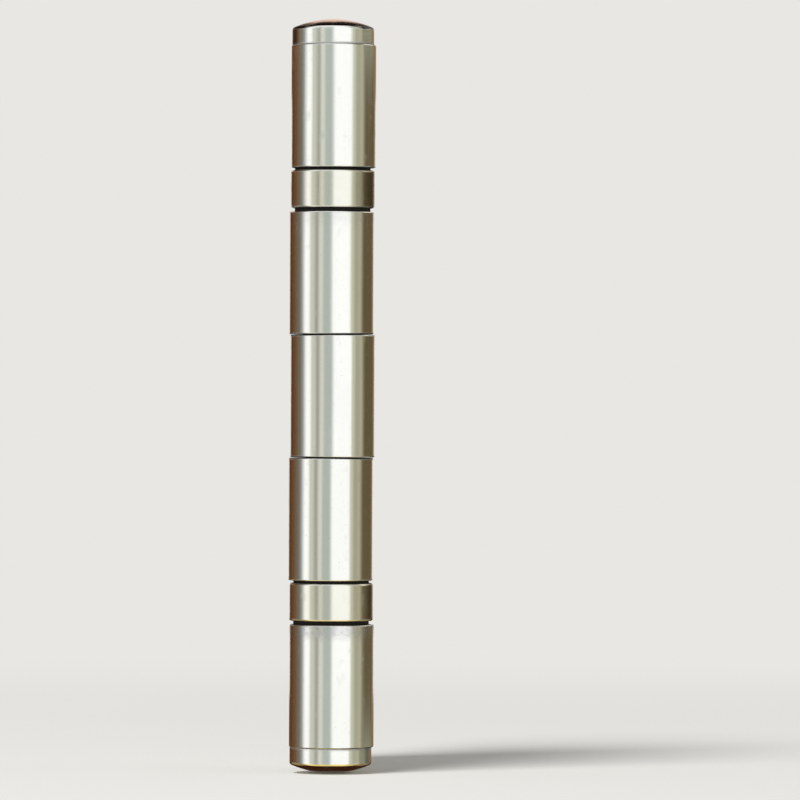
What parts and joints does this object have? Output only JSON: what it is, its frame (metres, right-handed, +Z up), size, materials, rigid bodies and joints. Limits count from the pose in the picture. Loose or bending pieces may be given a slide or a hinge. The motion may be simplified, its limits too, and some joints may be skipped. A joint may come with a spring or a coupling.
{
  "type": "ball bearing hinge",
  "caption": "Stainless steel butt hinge with caged ball thrust bearings between its knuckles, button tips, a fixed pin and leaves with countersunk screw holes.",
  "frame": {"origin": "centre of the frame leaf's mounting face, at half the leaf's height", "axes": "+Z up along the pin, +X out of the frame leaf's mounting face, +Y from the barrel towards the leaves' free edges when the hinge is shut"},
  "size_m": [0.0124, 0.0441, 0.1096],
  "materials": {
    "leaf_steel": "polished stainless steel with fine lengthwise polishing lines",
    "tip_steel": "turned and polished stainless steel",
    "casing_steel": "turned and polished stainless steel, slightly duller than the leaves",
    "pin_steel": "ground steel",
    "race_steel": "turned, hardened steel",
    "ball_steel": "polished bearing steel",
    "cage_brass": "stamped brass"
  },
  "bodies": {
    "frame_side": {"frame_leaf": "leaf_steel", "hinge_pin": "pin_steel", "top_tip": "tip_steel", "bottom_tip": "tip_steel", "upper_bearing_top_race": "race_steel", "lower_bearing_bottom_race": "race_steel", "lower_bearing_casing": "casing_steel"},
    "door_side": {"door_leaf": "leaf_steel", "upper_bearing_bottom_race": "race_steel", "upper_bearing_casing": "casing_steel", "lower_bearing_top_race": "race_steel"},
    "upper_ball_set": {"upper_bearing_cage": "cage_brass", "upper_bearing_ball_01": "ball_steel", "upper_bearing_ball_02": "ball_steel", "upper_bearing_ball_03": "ball_steel", "upper_bearing_ball_04": "ball_steel", "upper_bearing_ball_05": "ball_steel", "upper_bearing_ball_06": "ball_steel", "upper_bearing_ball_07": "ball_steel", "upper_bearing_ball_08": "ball_steel", "upper_bearing_ball_09": "ball_steel", "upper_bearing_ball_10": "ball_steel", "upper_bearing_ball_11": "ball_steel", "upper_bearing_ball_12": "ball_steel"},
    "lower_ball_set": {"lower_bearing_cage": "cage_brass", "lower_bearing_ball_01": "ball_steel", "lower_bearing_ball_02": "ball_steel", "lower_bearing_ball_03": "ball_steel", "lower_bearing_ball_04": "ball_steel", "lower_bearing_ball_05": "ball_steel", "lower_bearing_ball_06": "ball_steel", "lower_bearing_ball_07": "ball_steel", "lower_bearing_ball_08": "ball_steel", "lower_bearing_ball_09": "ball_steel", "lower_bearing_ball_10": "ball_steel", "lower_bearing_ball_11": "ball_steel", "lower_bearing_ball_12": "ball_steel"}
  },
  "joints": [
    {"name": "door_swing", "type": "hinge", "parent": "frame_side", "child": "door_side", "pos_m": [-0.0035, -0.0223, 0], "axis": [0, 0, 1], "range_deg": [0, 300]},
    {"name": "upper_balls_roll", "type": "hinge", "parent": "frame_side", "child": "upper_ball_set", "pos_m": [-0.0035, -0.0223, 0], "axis": [0, 0, 1], "range_deg": [0, 150]},
    {"name": "lower_balls_roll", "type": "hinge", "parent": "frame_side", "child": "lower_ball_set", "pos_m": [-0.0035, -0.0223, 0], "axis": [0, 0, 1], "range_deg": [0, 150]}
  ],
  "couplings": [
    {"joint": "upper_balls_roll", "follows": "door_swing", "ratio": 0.5},
    {"joint": "lower_balls_roll", "follows": "door_swing", "ratio": 0.5}
  ]
}
